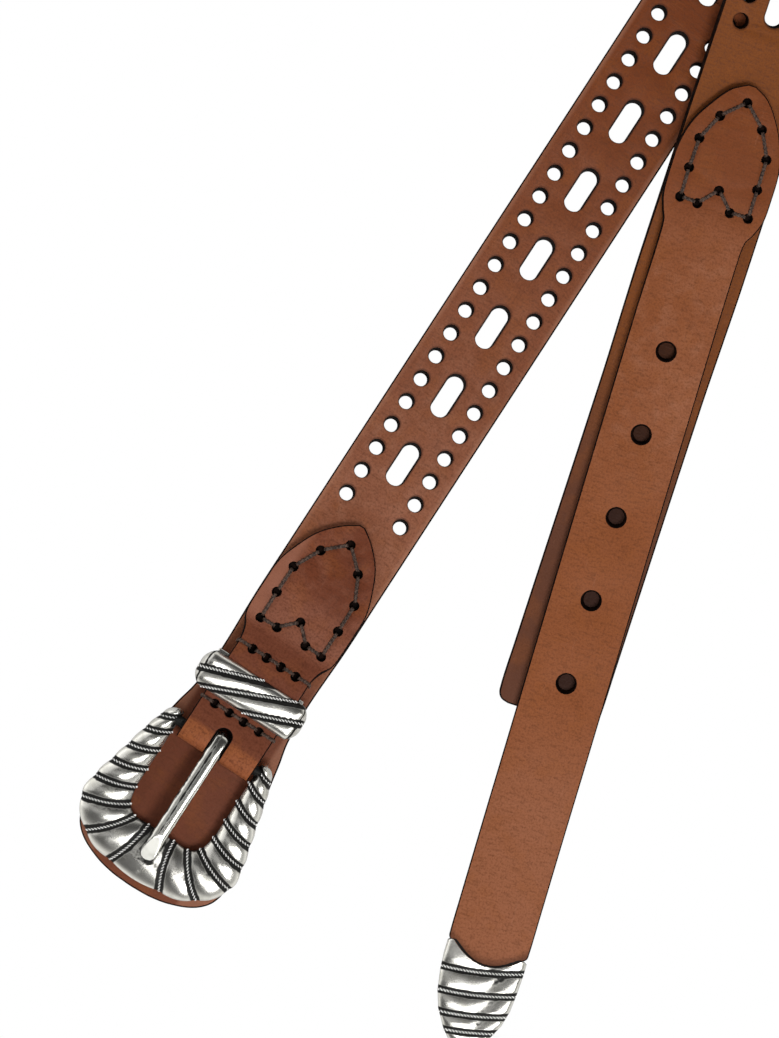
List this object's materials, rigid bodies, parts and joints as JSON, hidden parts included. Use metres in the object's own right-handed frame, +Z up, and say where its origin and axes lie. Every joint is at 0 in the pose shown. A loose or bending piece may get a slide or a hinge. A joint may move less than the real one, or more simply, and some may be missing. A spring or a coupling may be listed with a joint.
{
  "type": "perforated leather belt with a cast buckle set",
  "caption": "Slotted and pierced leather belt lying unfastened, with a framed buckle on a short strap, a keeper loop and a narrow billet strap with a metal tip.",
  "frame": {"origin": "on the surface that the belt lies on, under the middle of its overall box", "axes": "+Z up from the surface, +Y along the buckle's leg of the strap from the buckle to the turn, +X from the buckle's leg towards the billet"},
  "size_m": [0.164, 0.4748, 0.0319],
  "materials": {
    "strap_leather": "semi-matt brown leather with burnished darker cut edges",
    "chape_leather": "semi-matt mid-brown leather with dark painted edges",
    "billet_leather": "semi-matt lighter brown leather with dark painted edges",
    "antique_silver": "polished cast antique silver with blackened grooves"
  },
  "bodies": {
    "belt": {"main_strap": "strap_leather", "chape": "chape_leather", "billet_strap": "billet_leather", "keeper": "antique_silver", "tip_cap": "antique_silver"},
    "buckle": {"buckle_frame": "antique_silver"},
    "tongue": {"prong": "antique_silver"}
  },
  "joints": [
    {"name": "buckle_swing", "type": "hinge", "parent": "belt", "child": "buckle", "pos_m": [-0.03266, -0.18943, 0.0074], "axis": [-1, 0, 0], "range_deg": [0, 60]},
    {"name": "prong_swing", "type": "hinge", "parent": "buckle", "child": "tongue", "pos_m": [-0.03266, -0.18943, 0.0074], "axis": [-1, 0, 0], "range_deg": [0, 45]}
  ]
}
